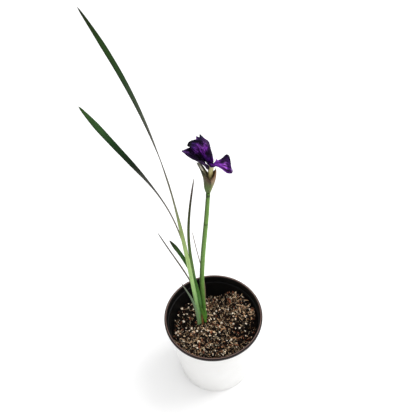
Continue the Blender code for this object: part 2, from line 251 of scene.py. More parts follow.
class Paint:
    """A material on its way: short names for adding its nodes."""

    def __init__(self, name, **plain):
        self.made = bpy.data.materials.new(name)
        self.made.use_nodes = True
        self.tree = self.made.node_tree
        self.shader = self.tree.nodes["Principled BSDF"]
        for socket, value in plain.items():
            self.shader.inputs[socket.replace("_", " ")].default_value = value

    def node(self, kind, inputs=(), **settings):
        made = self.tree.nodes.new(kind)
        for key, value in settings.items():
            setattr(made, key, value)
        for socket, value in dict(inputs).items():
            self.set(made.inputs[socket], value)
        return made

    def set(self, socket, value):
        if isinstance(value, bpy.types.NodeSocket):
            self.tree.links.new(value, socket)
        else:
            socket.default_value = value

    def uv(self, across=1.0, along=1.0, source="UV"):
        where = self.node("ShaderNodeTexCoord")
        return self.node(
            "ShaderNodeMapping", {"Vector": where.outputs[source], "Scale": (across, along, across)}
        ).outputs[0]

    def solid(self, scale=1.0):
        where = self.node("ShaderNodeTexCoord")
        return self.node(
            "ShaderNodeMapping", {"Vector": where.outputs["Object"], "Scale": (scale, scale, scale)}
        ).outputs[0]

    def noise(self, vector, scale, detail=3.0, rough=0.55):
        return self.node(
            "ShaderNodeTexNoise", {"Vector": vector, "Scale": scale, "Detail": detail, "Roughness": rough}
        ).outputs["Fac"]

    def cells(self, vector, scale, feature="F1"):
        return self.node("ShaderNodeTexVoronoi", {"Vector": vector, "Scale": scale}, feature=feature)

    def math(self, operation, a, b=0.0, c=None):
        made = self.node("ShaderNodeMath", operation=operation)
        self.set(made.inputs[0], a)
        self.set(made.inputs[1], b)
        if c is not None:
            self.set(made.inputs[2], c)
        return made.outputs[0]

    def ramp(self, factor, stops):
        made = self.node("ShaderNodeValToRGB", {"Fac": factor})
        band = made.color_ramp
        while len(band.elements) < len(stops):
            band.elements.new(0.5)
        for element, (place, colour) in zip(band.elements, stops):
            element.position = place
            element.color = (*colour, 1) if len(colour) == 3 else colour
        return made.outputs[0]

    def scalar(self, factor, stops):
        return self.ramp(factor, [(place, (value,) * 3) for place, value in stops])

    def mix(self, factor, a, b, blend="MIX"):
        made = self.node("ShaderNodeMix", data_type="RGBA", blend_type=blend)
        self.set(made.inputs[0], factor)
        self.set(made.inputs[6], (*a, 1) if isinstance(a, tuple) else a)
        self.set(made.inputs[7], (*b, 1) if isinstance(b, tuple) else b)
        return made.outputs[2]

    def dim(self, ground, factor, stops):
        """The ground, made lighter or darker by a share that the stops give for the factor."""
        return self.mix(1.0, ground, self.scalar(factor, stops), "MULTIPLY")

    def across_along(self):
        """The place across (0 to 1) and along (0 to 1) of a sheet."""
        where = self.node("ShaderNodeTexCoord")
        split = self.node("ShaderNodeSeparateXYZ", {0: where.outputs["UV"]})
        return split.outputs[0], split.outputs[1]

    def colour(self, value):
        self.set(self.shader.inputs["Base Color"], value)

    def rough(self, value):
        self.set(self.shader.inputs["Roughness"], value)

    def bump(self, height, distance, strength=1.0):
        made = self.node("ShaderNodeBump", {"Height": height, "Distance": distance, "Strength": strength})
        self.set(self.shader.inputs["Normal"], made.outputs[0])


def shade(red, green, blue, gain=1.0, vivid=1.0):
    """A colour given from 0 to 255 for the eye, as the light it sends back."""
    light = [gain * ((value / 255 + 0.055) / 1.055) ** 2.4 for value in (red, green, blue)]
    middle = sum(light) / 3
    return tuple(max(0.001, middle + (value - middle) * vivid) for value in light)


def pot_white():
    paint = Paint("pot_white", Specular_IOR_Level=0.3)
    place = paint.solid()
    cloud = paint.noise(place, 22, 4)
    paint.colour(paint.ramp(cloud, [(0.3, (0.83, 0.825, 0.81)), (0.7, (0.88, 0.877, 0.868))]))
    paint.rough(paint.scalar(paint.noise(place, 90, 3), [(0.3, 0.32), (0.7, 0.5)]))
    paint.bump(paint.noise(place, 700, 2), 0.00006, 0.5)
    return paint.made


def pot_black():
    paint = Paint("pot_black", Specular_IOR_Level=0.1)
    place = paint.solid()
    dust = paint.math("MULTIPLY", paint.noise(place, 60, 5, 0.7), paint.noise(place, 420, 3))
    paint.colour(paint.ramp(dust, [(0.28, (0.003, 0.003, 0.0032)), (0.45, (0.014, 0.012, 0.011))]))
    paint.rough(paint.scalar(dust, [(0.2, 0.42), (0.45, 0.75)]))
    paint.bump(paint.noise(place, 900, 2), 0.00005, 0.5)
    return paint.made


def pot_rim():
    """Near-black rim with a painted brown highlight along the crown of its roll and a painted grey highlight
    at its outer edge; scuffs dull it here and there.
    """
    paint = Paint("pot_rim", Specular_IOR_Level=0.15)
    place = paint.solid()
    flat = paint.node("ShaderNodeVectorMath", {0: place, 1: (1, 1, 0)}, operation="MULTIPLY").outputs[0]
    reach = paint.node("ShaderNodeVectorMath", {0: flat}, operation="LENGTH").outputs["Value"]
    scuff = paint.noise(place, 260, 4, 0.7)
    reach = paint.math("ADD", reach, paint.math("MULTIPLY_ADD", scuff, 0.0008, -0.0004))
    share = paint.math("DIVIDE", paint.math("SUBTRACT", reach, RIM_INNER), RIM_OUTER - RIM_INNER)
    # The brown ring at the roll's crown and the grey ring at its outer edge are painted highlights; the black
    # is the rim's own colour.
    black, crown_highlight, outer_highlight = shade(12, 10, 10), shade(122, 96, 88), shade(52, 46, 45)
    band = paint.ramp(
        share, [(0.24, black), (0.38, crown_highlight), (0.46, crown_highlight), (0.58, black), (0.85, black), (1.0, outer_highlight)]
    )
    paint.colour(paint.mix(paint.scalar(scuff, [(0.35, 0.0), (0.75, 0.35)]), band, (0.03, 0.02, 0.018)))
    paint.rough(paint.scalar(scuff, [(0.3, 0.33), (0.7, 0.55)]))
    paint.bump(scuff, 0.00006, 0.6)
    return paint.made


def mix_ground():
    paint = Paint("potting_mix_ground", Specular_IOR_Level=0.08)
    place = paint.solid()
    crumbs = paint.cells(place, 420)
    crumb = paint.math("MULTIPLY", crumbs.outputs["Distance"], paint.noise(place, 160, 4))
    paint.colour(
        paint.ramp(
            paint.noise(place, 330, 5, 0.75),
            [(0.36, (0.0015, 0.0012, 0.0011)), (0.58, (0.006, 0.004, 0.003)), (0.74, (0.035, 0.018, 0.01))],
        )
    )
    paint.rough(0.9)
    paint.bump(crumb, 0.0008, 1.0)
    return paint.made


def bits(name, stops, roughness=0.85, grain=900.0, gloss=0.1):
    """A finish for loose bits: each bit's own tone picks its colour, and a fine grain breaks it up."""
    paint = Paint(name, Specular_IOR_Level=gloss)
    tone = paint.node("ShaderNodeAttribute", attribute_name="tone").outputs["Fac"]
    place = paint.solid()
    fine = paint.noise(place, grain, 3, 0.7)
    worn = paint.scalar(fine, [(0.45, 0.0), (0.72, 0.45)])
    paint.colour(paint.mix(worn, paint.ramp(tone, stops), (0.008, 0.005, 0.004)))
    paint.rough(roughness)
    paint.bump(fine, 0.0003, 0.8)
    return paint.made


def leaf_paint(name, stops, ribs=22.0):
    """Ribbed leaf; stops are the colours from foot to tip."""
    paint = Paint(name, Specular_IOR_Level=0.12)
    across, along = paint.across_along()
    wander = paint.math("MULTIPLY_ADD", paint.noise(paint.solid(), 45, 3), 0.06, -0.03)
    ground = paint.ramp(paint.math("ADD", along, wander), stops)
    streak = paint.noise(paint.uv(ribs, 1.6), 1, 3, 0.6)
    groove = paint.noise(paint.uv(ribs * 1.5, 0.4), 1, 1, 0.5)
    blotch = paint.noise(paint.uv(3, 26), 1, 4, 0.6)
    off_middle = paint.math("ABSOLUTE", paint.math("SUBTRACT", across, 0.5))
    for factor, shares in (
        (off_middle, [(0.3, 1.0), (0.5, 0.75)]),
        (along, [(0.0, 1.55), (0.28, 1.4), (0.5, 1.0), (0.75, 0.85)]),
        (streak, [(0.3, 0.72), (0.7, 1.3)]),
        (groove, [(0.35, 0.7), (0.6, 1.1)]),
        (blotch, [(0.32, 0.75), (0.68, 1.2)]),
    ):
        ground = paint.dim(ground, factor, shares)
    paint.colour(ground)
    paint.rough(paint.scalar(streak, [(0.3, 0.42), (0.7, 0.6)]))
    paint.bump(groove, 0.00025, 0.7)
    return paint.made


def patched(paint, ground, patches, stray):
    """Lays soft patches over the ground: each a colour, its place across and along, half sizes, and share."""
    across, along = paint.across_along()
    place = paint.solid()
    wander = paint.math("MULTIPLY_ADD", paint.noise(place, 190, 4), stray * 2, -stray)
    across = paint.math("ADD", across, wander)
    wander = paint.math("MULTIPLY_ADD", paint.noise(place, 230, 4), stray, -stray / 2)
    along = paint.math("ADD", along, wander)
    for colour, u, t, wide, tall, share in patches:
        sides = paint.math("DIVIDE", paint.math("SUBTRACT", across, u), wide)
        rise = paint.math("DIVIDE", paint.math("SUBTRACT", along, t), tall)
        far = paint.math("MULTIPLY_ADD", sides, sides, paint.math("MULTIPLY", rise, rise))
        ground = paint.mix(paint.scalar(far, [(0.25, share), (1.0, 0.0)]), ground, colour)
    return ground


def petal_paint(name, stops, patches=(), veins=7.0):
    """Velvet petal: stops are the colours from foot to tip, and patches lie over them."""
    paint = Paint(name, Specular_IOR_Level=0.04)
    across, along = paint.across_along()
    ground = patched(paint, paint.ramp(along, stops), patches, 0.12)
    streak = paint.noise(paint.uv(veins, 2.2), 1, 4, 0.7)
    spread = paint.noise(paint.uv(veins * 0.5, 6.0), 1, 3, 0.6)
    ground = paint.dim(ground, streak, [(0.4, 0.15), (0.5, 0.9), (0.6, 2.1)])
    ground = paint.dim(ground, spread, [(0.36, 0.5), (0.64, 1.5)])
    paint.colour(ground)
    paint.rough(paint.scalar(streak, [(0.3, 0.6), (0.7, 0.8)]))
    paint.bump(paint.math("ADD", streak, paint.noise(paint.solid(), 420, 4, 0.6)), 0.0004, 0.8)
    return paint.made


def bract_paint(name, stops, patches):
    """Papery bract: stops are the colours from foot to tip, with patches and fine lines over them."""
    paint = Paint(name, Specular_IOR_Level=0.2)
    across, along = paint.across_along()
    ground = patched(paint, paint.ramp(along, stops), patches, 0.05)
    lines = paint.noise(paint.uv(30, 1.0), 1, 3, 0.6)
    specks = paint.noise(paint.uv(42, 9.0), 1, 3, 0.6)
    ground = paint.dim(ground, lines, [(0.35, 0.6), (0.65, 1.3)])
    ground = paint.mix(paint.scalar(specks, [(0.55, 0.0), (0.75, 0.6)]), ground, shade(70, 46, 34))
    paint.colour(ground)
    paint.rough(paint.scalar(lines, [(0.3, 0.5), (0.7, 0.72)]))
    paint.bump(lines, 0.0003, 0.8)
    return paint.made


def rod_paint(name, stops, sides, ribs):
    """Fleshy rod: stops are the colours from foot to top, and sides the painted shade and light across it,
    from its left side to its right side.
    """
    paint = Paint(name, Specular_IOR_Level=0.15)
    across, along = paint.across_along()
    ground = paint.ramp(along, stops)
    turn = paint.math("MULTIPLY", paint.math("ABSOLUTE", paint.math("SUBTRACT", across, 0.5)), 2.0)
    lines = paint.noise(paint.uv(ribs, 2.0), 1, 3, 0.6)
    # Painted shade and light: the left side is darkened and the right side lightened, as light from the right
    # would do.
    ground = paint.dim(ground, turn, sides)
    ground = paint.dim(ground, lines, [(0.35, 0.75), (0.65, 1.2)])
    ground = paint.dim(ground, paint.noise(paint.uv(16, 30), 1, 3), [(0.35, 0.8), (0.65, 1.1)])
    paint.colour(ground)
    paint.rough(paint.scalar(lines, [(0.3, 0.45), (0.7, 0.6)]))
    paint.bump(lines, 0.0002, 0.6)
    return paint.made


def floor_paint():
    paint = Paint("floor_white", Specular_IOR_Level=0.1)
    cloud = paint.noise(paint.solid(), 3, 2)
    paint.colour(paint.ramp(cloud, [(0.3, (0.85, 0.85, 0.85)), (0.7, (0.88, 0.88, 0.88))]))
    paint.rough(0.9)
    return paint.made


# The potting mix's surface

SOIL_LEVEL = 102 * MM
SOIL_RISE = 26 * MM
HEAP_FOOT = 4 * MM
HEAP_RUN = 42 * MM
BANK_RISE = 10 * MM
SOIL_BUMP = 1.6 * MM
DIMPLE_DEPTH = 3 * MM
DIMPLE_RADIUS = 28 * MM
DIMPLE_CENTRE = (-20.5 * MM, 24.5 * MM)
GROUND_DROP = 2.2 * MM
MIX_STEPS = 180
MIX_RINGS = 60

# The pot's inner wall round the mix: its radius at the foot, and how much wider it is at the top
INNER_FOOT = 63 * MM
INNER_SPREAD = 14.5 * MM
POT_HEIGHT = 152.5 * MM

# How far from the middle bits may lie, in mm, the chips at each spot of bark, and the small sticks
MIX_REACH = 74
BARK_SPLITS = 5
SMALL_STICKS = 60
BIT_SHAPES = 14

# Larger bits lying on the mix, in mm: x, y and half length; the sticks have their turn in degrees too
BIG_GRAINS = (
    (-55, 43.5, 2.7), (-62, 32.5, 2), (-52, 32, 1.8), (-46.5, 35.5, 1.6), (-35, 36, 1.8), (-43.5, 47.5, 1.6),
    (-43, 55, 1.4), (-53, 20, 2.8), (-67, -0.5, 2.6), (-63, 2.5, 2.4), (-63.5, -5.5, 1.9), (-39, 8, 2.3),
    (-30, 1.5, 2.5), (-22.5, -1.5, 1.6), (-37.5, 0, 2.1), (-43.5, 3.5, 1.7), (-49, 8, 1.8), (-10, 56.5, 2.3),
    (-13, 47, 1.3), (2, 34.5, 1.9), (1.5, 24, 1.8), (12, 38, 2), (6, 39.5, 2.3), (13.5, 13, 2.7),
    (38, 7.5, 1.8),
    (35, 13.5, 1.6), (26.5, 31.5, 1.4), (34, 1, 1.7), (55, -3.5, 2.5), (43.5, -9, 2.2), (36.5, -9, 1.5),
    (9, -4.5, 2.5), (53, -20.5, 1.7), (28, -24, 2.6), (20.5, -24.5, 1.4), (8, -19, 1.5), (35.5, -39.5, 1.7),
    (13.5, -39.5, 1.8), (12, -47, 1.7), (-0.5, -39, 1.8), (53.5, 47.5, 1.5), (5, 66, 1.8), (-37, -27, 2),
    (-31, -33, 2.2), (25.5, -25, 1.7), (63.5, 21, 1.6),
)
BIG_BARK = (
    (2.5, 60, 3.4), (-6.5, 66, 2.4), (29, 63, 3.5), (36, 60.5, 2.3), (31.5, 47.5, 4.4), (46, 51.5, 2.7),
    (-41.5, 26.5, 2.5), (-12, 20.5, 3.3), (-3.5, 15, 3.2), (9, 9, 2.8), (-8, -2, 2.6), (67, -16, 2),
    (57.5, -27.5, 2.7), (36, -24.5, 2.2), (14.5, -33.5, 2.4), (37, -34.5, 2.7), (-31.5, 19, 2.3),
    (67, 21.5, 3.2),
    (-58.5, 16.5, 2.5), (-66, 15, 2.6), (-20.5, -17, 2.8), (-12.5, -26.5, 2.9), (-27.5, -23.5, 2.2),
)
STICKS = (
    (-5, 33.5, 5.4, 0), (62.5, 29, 5.2, 10), (8.5, 18.5, 4.6, -40), (45.5, 31.5, 4.5, 30),
    (30.5, -4.5, 3.4, 10),
    (59.5, 39, 4.2, 60), (53, 31, 5.2, 25), (0.5, 17.5, 4.2, -30), (46.5, 20, 5.2, 20), (-57, -12, 4, 60),
    (-30, -14, 4, -20), (22, -14, 3.6, 40), (-44, -20, 3.6, 15), (20, 52, 4.2, -25), (64, 10, 4, 80),
)


def ease(value):
    """Runs smoothly from 0 to 1 as the value does."""
    value = np.clip(value, 0, 1)
    return value * value * (3 - 2 * value)


def soil_height(x, y):
    """Height of the mix at (x, y): a heap at the right, a low bank at the left, a dimple at the plant."""
    heap = SOIL_RISE * ease((x - HEAP_FOOT) / HEAP_RUN) * (0.4 + 0.6 * ease((y + 30 * MM) / (45 * MM)))
    bank = BANK_RISE * ease((-x - 28 * MM) / (36 * MM)) * ease((y - 5 * MM) / (45 * MM))
    clods = 0
    for k, (reach, turn) in enumerate(((21, 0.4), (15, 1.7), (12, 2.9), (9, 4.2))):
        wave = 2 * math.pi / (reach * MM)
        clods = clods + np.sin(wave * (x * math.cos(turn) + y * math.sin(turn)) + 1.3 * k)
    away = np.hypot(x - DIMPLE_CENTRE[0], y - DIMPLE_CENTRE[1]) / DIMPLE_RADIUS
    near = ease((1 - away) / 0.4)
    return SOIL_LEVEL + (1 - near) * (heap + bank + SOIL_BUMP * clods * 0.6) - near * DIMPLE_DEPTH


def bit_shapes(kind, count, rng):
    """A few different bits, each made from a bmesh shape: (points, triangles)."""
    shapes = []
    for k in range(count):
        bm = bmesh.new()
        if kind == "grain":
            bmesh.ops.create_icosphere(bm, subdivisions=1, radius=1)
            bmesh.ops.subdivide_edges(bm, edges=bm.edges, cuts=1, use_grid_fill=True)
        elif kind == "chip":
            bmesh.ops.create_cube(bm, size=2)
            bmesh.ops.subdivide_edges(bm, edges=bm.edges, cuts=1, use_grid_fill=True)
        else:
            bmesh.ops.create_cone(bm, cap_ends=True, segments=4, radius1=1, radius2=0.5, depth=2)
            sides = [e for e in bm.edges if abs(e.verts[0].co.z - e.verts[1].co.z) > 1]
            bmesh.ops.subdivide_edges(bm, edges=sides, cuts=6, use_grid_fill=True)
            bend = rng.uniform(-1, 1, 4) * 5
            for vert in bm.verts:
                z = vert.co.z
                vert.co.x += bend[0] * (1 - z * z) + bend[1] * math.sin(3 * z)
                vert.co.y += bend[2] * (1 - z * z) + bend[3] * math.sin(2.5 * z)
        if kind != "fibre":
            rough = 0.28 if kind == "grain" else 0.34
            for vert in bm.verts:
                vert.co += vert.co.normalized() * rng.uniform(-rough, rough)
            bmesh.ops.smooth_vert(
                bm, verts=bm.verts, factor=0.25, use_axis_x=True, use_axis_y=True, use_axis_z=True
            )
        bmesh.ops.triangulate(bm, faces=bm.faces)
        bm.normal_update()
        points = np.array([v.co for v in bm.verts])
        faces = np.array([[v.index for v in f.verts] for f in bm.faces])
        bm.free()
        shapes.append((points, faces))
    return shapes


def scatter(name, shapes, places, sizes, tones, turns, material):
    """One mesh of many bits: each a copy of one of the shapes, sized, turned and placed."""
    all_points, all_faces, all_tones, start = [], [], [], 0
    for k, (place, size, tone, turn) in enumerate(zip(places, sizes, tones, turns)):
        points, faces = shapes[k % len(shapes)]
        spin = np.array(turn.to_matrix())
        all_points.append((points * size) @ spin.T + place)
        all_faces.append(faces + start)
        all_tones.append(np.full(len(points), tone))
        start += len(points)
    points = np.concatenate(all_points)
    faces = np.concatenate(all_faces)
    mesh = bpy.data.meshes.new(name)
    mesh.from_pydata(points.tolist(), [], faces.tolist())
    mark = mesh.attributes.new("tone", "FLOAT", "POINT")
    mark.data.foreach_set("value", np.concatenate(all_tones).astype(np.float32))
    mesh.materials.append(material)
    mesh.shade_smooth()
    made = bpy.data.objects.new(name, mesh)
    bpy.context.scene.collection.objects.link(made)
    return made


MIX_FINISHES = {
    "crumb": (
        "dark_crumb",
        [(0.0, (0.002, 0.0015, 0.0012)), (0.6, (0.008, 0.005, 0.004)), (1.0, (0.05, 0.024, 0.014))],
    ),
    "chip": (
        "bark_chip",
        [
            (0.0, (0.003, 0.002, 0.002)), (0.38, (0.01, 0.005, 0.004)), (0.46, (0.12, 0.032, 0.018)),
            (0.58, (0.32, 0.11, 0.055)), (0.66, (0.66, 0.36, 0.19)), (0.8, (0.94, 0.72, 0.47)),
            (1.0, (1.0, 0.9, 0.72)),
        ],
    ),
    "stick": (
        "pale_stick", [(0.0, (0.2, 0.09, 0.045)), (0.6, (0.52, 0.3, 0.16)), (1.0, (0.82, 0.62, 0.4))],
    ),
    "grain": (
        "white_grain", [(0.0, (0.62, 0.43, 0.28)), (0.4, (0.84, 0.66, 0.48)), (1.0, (0.95, 0.84, 0.7))],
    ),
    "fibre": (
        "pale_fibre",
        [
            (0.0, (0.06, 0.03, 0.018)), (0.35, (0.36, 0.2, 0.1)), (0.7, (0.8, 0.56, 0.33)),
            (1.0, (0.95, 0.8, 0.58)),
        ],
    ),
}


# Settings a user would change

class PotSettings(bpy.types.PropertyGroup):
    height: bpy.props.FloatProperty(
        name="Height", description="Height of the pot", default=0.1525, unit="LENGTH"
    )
    rim: bpy.props.FloatProperty(
        name="Rim radius", description="Outer radius of the rim", default=0.0825, unit="LENGTH"
    )
    wall_top: bpy.props.FloatProperty(
        name="Wall radius", description="Outer radius of the wall under the rim",
        default=0.0795, unit="LENGTH",
    )
    base: bpy.props.FloatProperty(
        name="Base radius", description="Outer radius at the base", default=0.065, unit="LENGTH"
    )
    wall: bpy.props.FloatProperty(
        name="Wall", description="Thickness of the wall", default=0.0015, unit="LENGTH"
    )
    steps: bpy.props.IntProperty(name="Steps", description="Steps round the pot", default=144, min=24)


class MixSettings(bpy.types.PropertyGroup):
    crumbs: bpy.props.IntProperty(name="Crumbs", description="Number of dark crumbs", default=2600, min=0)
    chips: bpy.props.IntProperty(name="Chips", description="Number of bark chips", default=1250, min=0)
    grains: bpy.props.IntProperty(
        name="Grains", description="Number of small white grains", default=330, min=0
    )
    fibres: bpy.props.IntProperty(name="Fibres", description="Number of fibres", default=950, min=0)
    seed: bpy.props.IntProperty(name="Seed", description="Another seed gives another scatter", default=11)


class PlantSettings(bpy.types.PropertyGroup):
    leaf_thickness: bpy.props.FloatProperty(
        name="Leaf thickness", description="Thickness at a leaf's middle", default=0.0013, unit="LENGTH"
    )
    petal_thickness: bpy.props.FloatProperty(
        name="Petal thickness", description="Thickness of a petal", default=0.0005, unit="LENGTH"
    )
    petal_gain: bpy.props.FloatProperty(
        name="Petal gain", description="How much light the petals send back, next to their colours",
        default=1.05, min=0.0,
    )


# Leaves, foot to tip: lengths in mm, angles in degrees

LEAF_SHAPES = {
    "leaf_long": dict(
        foot=(-23.9, 17.2, 99.5), length=612, azimuths=(183, 183), leans=(2.4, 3.1, 5.2, 12.6, 21.9),
        widths=(5.5, 6.3, 6.5, 6.4, 5.8, 5.6, 5.8, 6.3, 6.5, 5.9, 5.5),
        twists=(85, 85, 85, 88, 110, 150, 157, 183, 208, 238, 245), tip=0.075,
    ),
    "leaf_arching": dict(
        foot=(-22.4, 23.3, 99.5), length=481, azimuths=(164, 164), leans=(1, 4.8, 10.8, 31.9, 31.6),
        widths=(5, 5.5, 5.5, 5.5, 5.5, 5.5, 6, 6.6, 7.3, 8.3, 7.9),
        twists=(90, 92, 103, 122, 136, 134, 131, 116, 66, 50, 45), tip=0.07,
    ),
    "leaf_upright": dict(
        foot=(-22.3, 29.8, 99.5), length=352, azimuths=(155, 155), leans=(2.4, 2.6, 1.2, -7, -10.8),
        widths=(4.5, 6, 7, 6.8, 6, 5, 4.4, 4, 3.4, 2.8, 1.7),
        twists=(85, 75, 65, 60, 60, 60, 62, 68, 70, 72, 75), tip=0.04,
    ),
    "leaf_thin": dict(
        foot=(-27, 28, 99.5), length=236, azimuths=(168, 168), leans=(-9, 4, 16.7, 20.8, 18.9),
        widths=(3.5, 4, 4, 4, 3.8, 3.5, 3.1, 2.8, 2.5, 2.2, 1.7),
        twists=(90, 110, 130, 145, 160, 172, 180, 182, 182, 182, 182), tip=0.05,
    ),
    "leaf_dark": dict(
        foot=(-24.5, 21, 99.5), length=231, azimuths=(174, 174), leans=(-6, -0.5, 7.6, 16.1, 25.4),
        widths=(4, 4.5, 5, 5, 5, 5, 5, 5.4, 6, 6.2, 6),
        twists=(85, 80, 80, 75, 75, 75, 70, 66, 60, 55, 55), tip=0.07,
    ),
    "leaf_dry": dict(
        foot=(-17, 37, 99.5), length=223, azimuths=(150, 150), leans=(-9, -3.3, 3.5, 7.9, 5.1),
        widths=(2, 2, 2, 2, 2, 1.9, 1.8, 1.7, 1.6, 1.5, 1.2),
        twists=(60, 80, 100, 110, 110, 110, 110, 110, 110, 110, 110), tip=0.03,
    ),
    "leaf_low": dict(
        foot=(-26.5, 15.2, 99.5), length=141, azimuths=(200, 200), leans=(0, 4, 8.5, 14.5, 15.9),
        widths=(4, 4.5, 4.6, 4.4, 4, 3.6, 3.1, 2.6, 2, 1.2),
        twists=(100, 100, 98, 95, 92, 90, 85, 80, 78, 78), tip=0.05,
    ),
    "leaf_sheath": dict(
        foot=(-14, 19, 99.5), length=72, azimuths=(181, 181), leans=(4, 8, 9, 6),
        widths=(4, 5, 4.5, 3, 1.2), twists=(85, 85, 85, 85), tip=0.05,
    ),
    "sheath_dry": dict(
        foot=(-19.5, 15, 99.5), length=34, azimuths=(100, 100), leans=(0, 2, 6),
        widths=(3, 3.4, 3, 0.8), twists=(0, 10, 20),
    ),
}

# How bright and vivid the leaves are, how much they dim towards the tip, and a dry leaf's thickness in mm
LEAF_GAIN = 1.35
LEAF_VIVID = 1.1
LEAF_FADE = 0.5
DRY_THICK = 1.0
LEAF_COLOURS = {
    "leaf_long": [
        (0, (120, 160, 105)), (0.3, (147, 170, 113)), (0.42, (140, 158, 100)), (0.52, (122, 122, 94)),
        (0.62, (100, 94, 78)), (0.71, (68, 68, 56)), (0.84, (42, 68, 36)), (0.93, (48, 78, 31)),
        (1, (36, 44, 18)),
    ],
    "leaf_arching": [
        (0, (105, 145, 95)), (0.25, (132, 166, 110)), (0.42, (140, 162, 104)), (0.52, (122, 110, 92)),
        (0.68, (86, 84, 78)), (0.78, (24, 42, 20)), (0.87, (34, 68, 30)), (0.94, (64, 100, 54)),
        (1, (66, 94, 45)),
    ],
    "leaf_upright": [
        (0, (90, 132, 86)), (0.2, (125, 160, 111)), (0.4, (116, 142, 88)), (0.6, (96, 115, 70)),
        (0.78, (76, 84, 50)), (0.86, (70, 68, 46)), (0.91, (84, 70, 62)), (0.95, (150, 142, 136)),
        (1, (196, 190, 184)),
    ],
    "leaf_thin": [
        (0, (100, 140, 90)), (0.3, (95, 125, 78)), (0.55, (108, 100, 86)), (0.8, (126, 119, 112)),
        (1, (108, 106, 104)),
    ],
    "leaf_dark": [
        (0, (100, 140, 90)), (0.4, (80, 120, 60)), (0.84, (64, 104, 50)), (0.91, (64, 90, 44)),
        (0.96, (50, 72, 30)),
        (1, (80, 78, 66)),
    ],
    "leaf_dry": [(0, (150, 130, 108)), (0.5, (176, 152, 136)), (1, (196, 176, 168))],
    "leaf_low": [(0, (115, 145, 100)), (0.6, (138, 158, 130)), (0.85, (138, 148, 128)), (1, (150, 150, 140))],
    "leaf_sheath": [(0, (90, 140, 60)), (0.6, (108, 155, 74)), (1, (124, 166, 96))],
    "sheath_dry": [(0, (98, 66, 42)), (0.6, (162, 122, 82)), (1, (140, 112, 80))],
}


def flower_place(angle, out, up=1):
    """A place above the top of the flower's tube, out from its axis at this azimuth."""
    x, y, z = TUBE_TOP
    turn = math.radians(angle)
    return (x + out * math.cos(turn), y + out * math.sin(turn), z + up)


PETALS = {
    "fall_right": dict(
        foot=flower_place(-74, 4.9, -0.5), length=40, azimuths=(-84, -70, -14, 0, 13, 22),
        leans=(2, 28, 97, 108, 130, 152), widths=(7.5, 11, 13.5, 13, 19, 27.5, 24, 4),
        wraps=(36, 40, 28, 20, 14, 20), twists=(0, 0, -4, -12, -20, -24),
        ruffle=(1.0, 2.0, 0.1), sweeps=(0.6, 1.6, -0.6, 1.0, 1.6, -1),
    ),
    "fall_left": dict(
        foot=flower_place(184, 6.6, -6), length=50.3, azimuths=(200, 198, 195, 191),
        leans=(20, 37, 42, 40, 38),
        widths=(9.5, 21, 29.5, 30.5, 28, 17, 2), wraps=(50, 64, 62, 50, 45, 20), twists=(0, 0),
        ruffle=(1.0, 2.5, 0.3), sweeps=(0, -1.0, -1.6, -1.0, 0),
    ),
    "fall_back": dict(
        foot=flower_place(95, 4.6, 0), length=41, azimuths=(100, 114, 124, 128), leans=(20, 70, 68, 64, 62),
        widths=(8, 9, 13, 17.5, 14.5, 2), wraps=(52, 35, 30, 25), twists=(0, 0),
        ruffle=(1.0, 2.0, 0.6),
    ),
    "standard_front": dict(
        foot=flower_place(250, 2.6, 0.9), length=47, azimuths=(232, 212, 198, 188),
        leans=(14, 19, 19, 18, 14), widths=(8.4, 15.4, 16, 16.2, 16, 12),
        wraps=(30, 45, 40, 32, 20), twists=(-10, -45, -62, -70), sweeps=(-1.6, -1.7, -0.4, 0.5, 0.4),
        ruffle=(1.2, 2.2, 0.0), notch=0.16,
    ),
    "standard_left": dict(
        foot=flower_place(152, 3.2), length=41, azimuths=(155, 157, 165, 174), leans=(22, 32, 49, 70),
        widths=(3.2, 7.5, 13.5, 24.5, 23, 6), wraps=(30, 42, 46, 40), twists=(0, 0),
        ruffle=(1.3, 2.5, 0.5), sweeps=(0, -2.1, -3.4, 0.3, 2.5),
    ),
    "standard_right": dict(
        foot=flower_place(20, 2.2), length=49, azimuths=(60, 120, 165, 176, 178), leans=(6, 12, 20, 27, 31),
        widths=(3.5, 10, 14, 14, 13, 5), wraps=(30, 40, 45, 40, 25), twists=(60, 130, 170, 180, 180),
        ruffle=(1.2, 2.0, 0.8),
    ),
}

STYLES = {
    "style_right": dict(
        foot=flower_place(-60, 0.9), length=22, azimuths=(190, 185), leans=(8, 15, 18, 14),
        widths=(1.3, 2, 3, 2.6, 1.2), wraps=(20, 30, 30), twists=(0, 0),
    ),
    "style_left": dict(
        foot=flower_place(205, 0.9), length=24, azimuths=(184, 180), leans=(14, 20, 24, 22),
        widths=(1.3, 2.6, 4, 3.5, 1.2), wraps=(20, 30, 30), twists=(0, 0),
    ),
    "style_back": dict(
        foot=flower_place(90, 1.1), length=24, azimuths=(135, 140), leans=(16, 24, 28, 24),
        widths=(1.3, 2.6, 4, 3.5, 1.2), wraps=(20, 30, 30), twists=(0, 0),
    ),
}

BRACTS = {
    "bract_right": dict(
        foot=(8.1, 23.2, 423.2), length=47, azimuths=(-5, -5), leans=(19, 18, 7, -6),
        widths=(7.8, 14.2, 20.0, 21, 11, 1), wraps=(80, 92, 102, 96, 48, 20), twists=(0, 0),
    ),
    "bract_left": dict(
        foot=(1.9, 23.2, 423.2), length=57, azimuths=(185, 185), leans=(16, 0, 7, 18, 12),
        widths=(8.6, 21.2, 26.8, 20, 15, 1), wraps=(84, 97, 101, 76, 44, 20), twists=(0, 0),
        sweeps=(0, 0, 0, 0, -3.5, 0),
    ),
}


# Colours from foot to tip, and patches: a colour, its place across and along (0 to 1), half sizes, and share

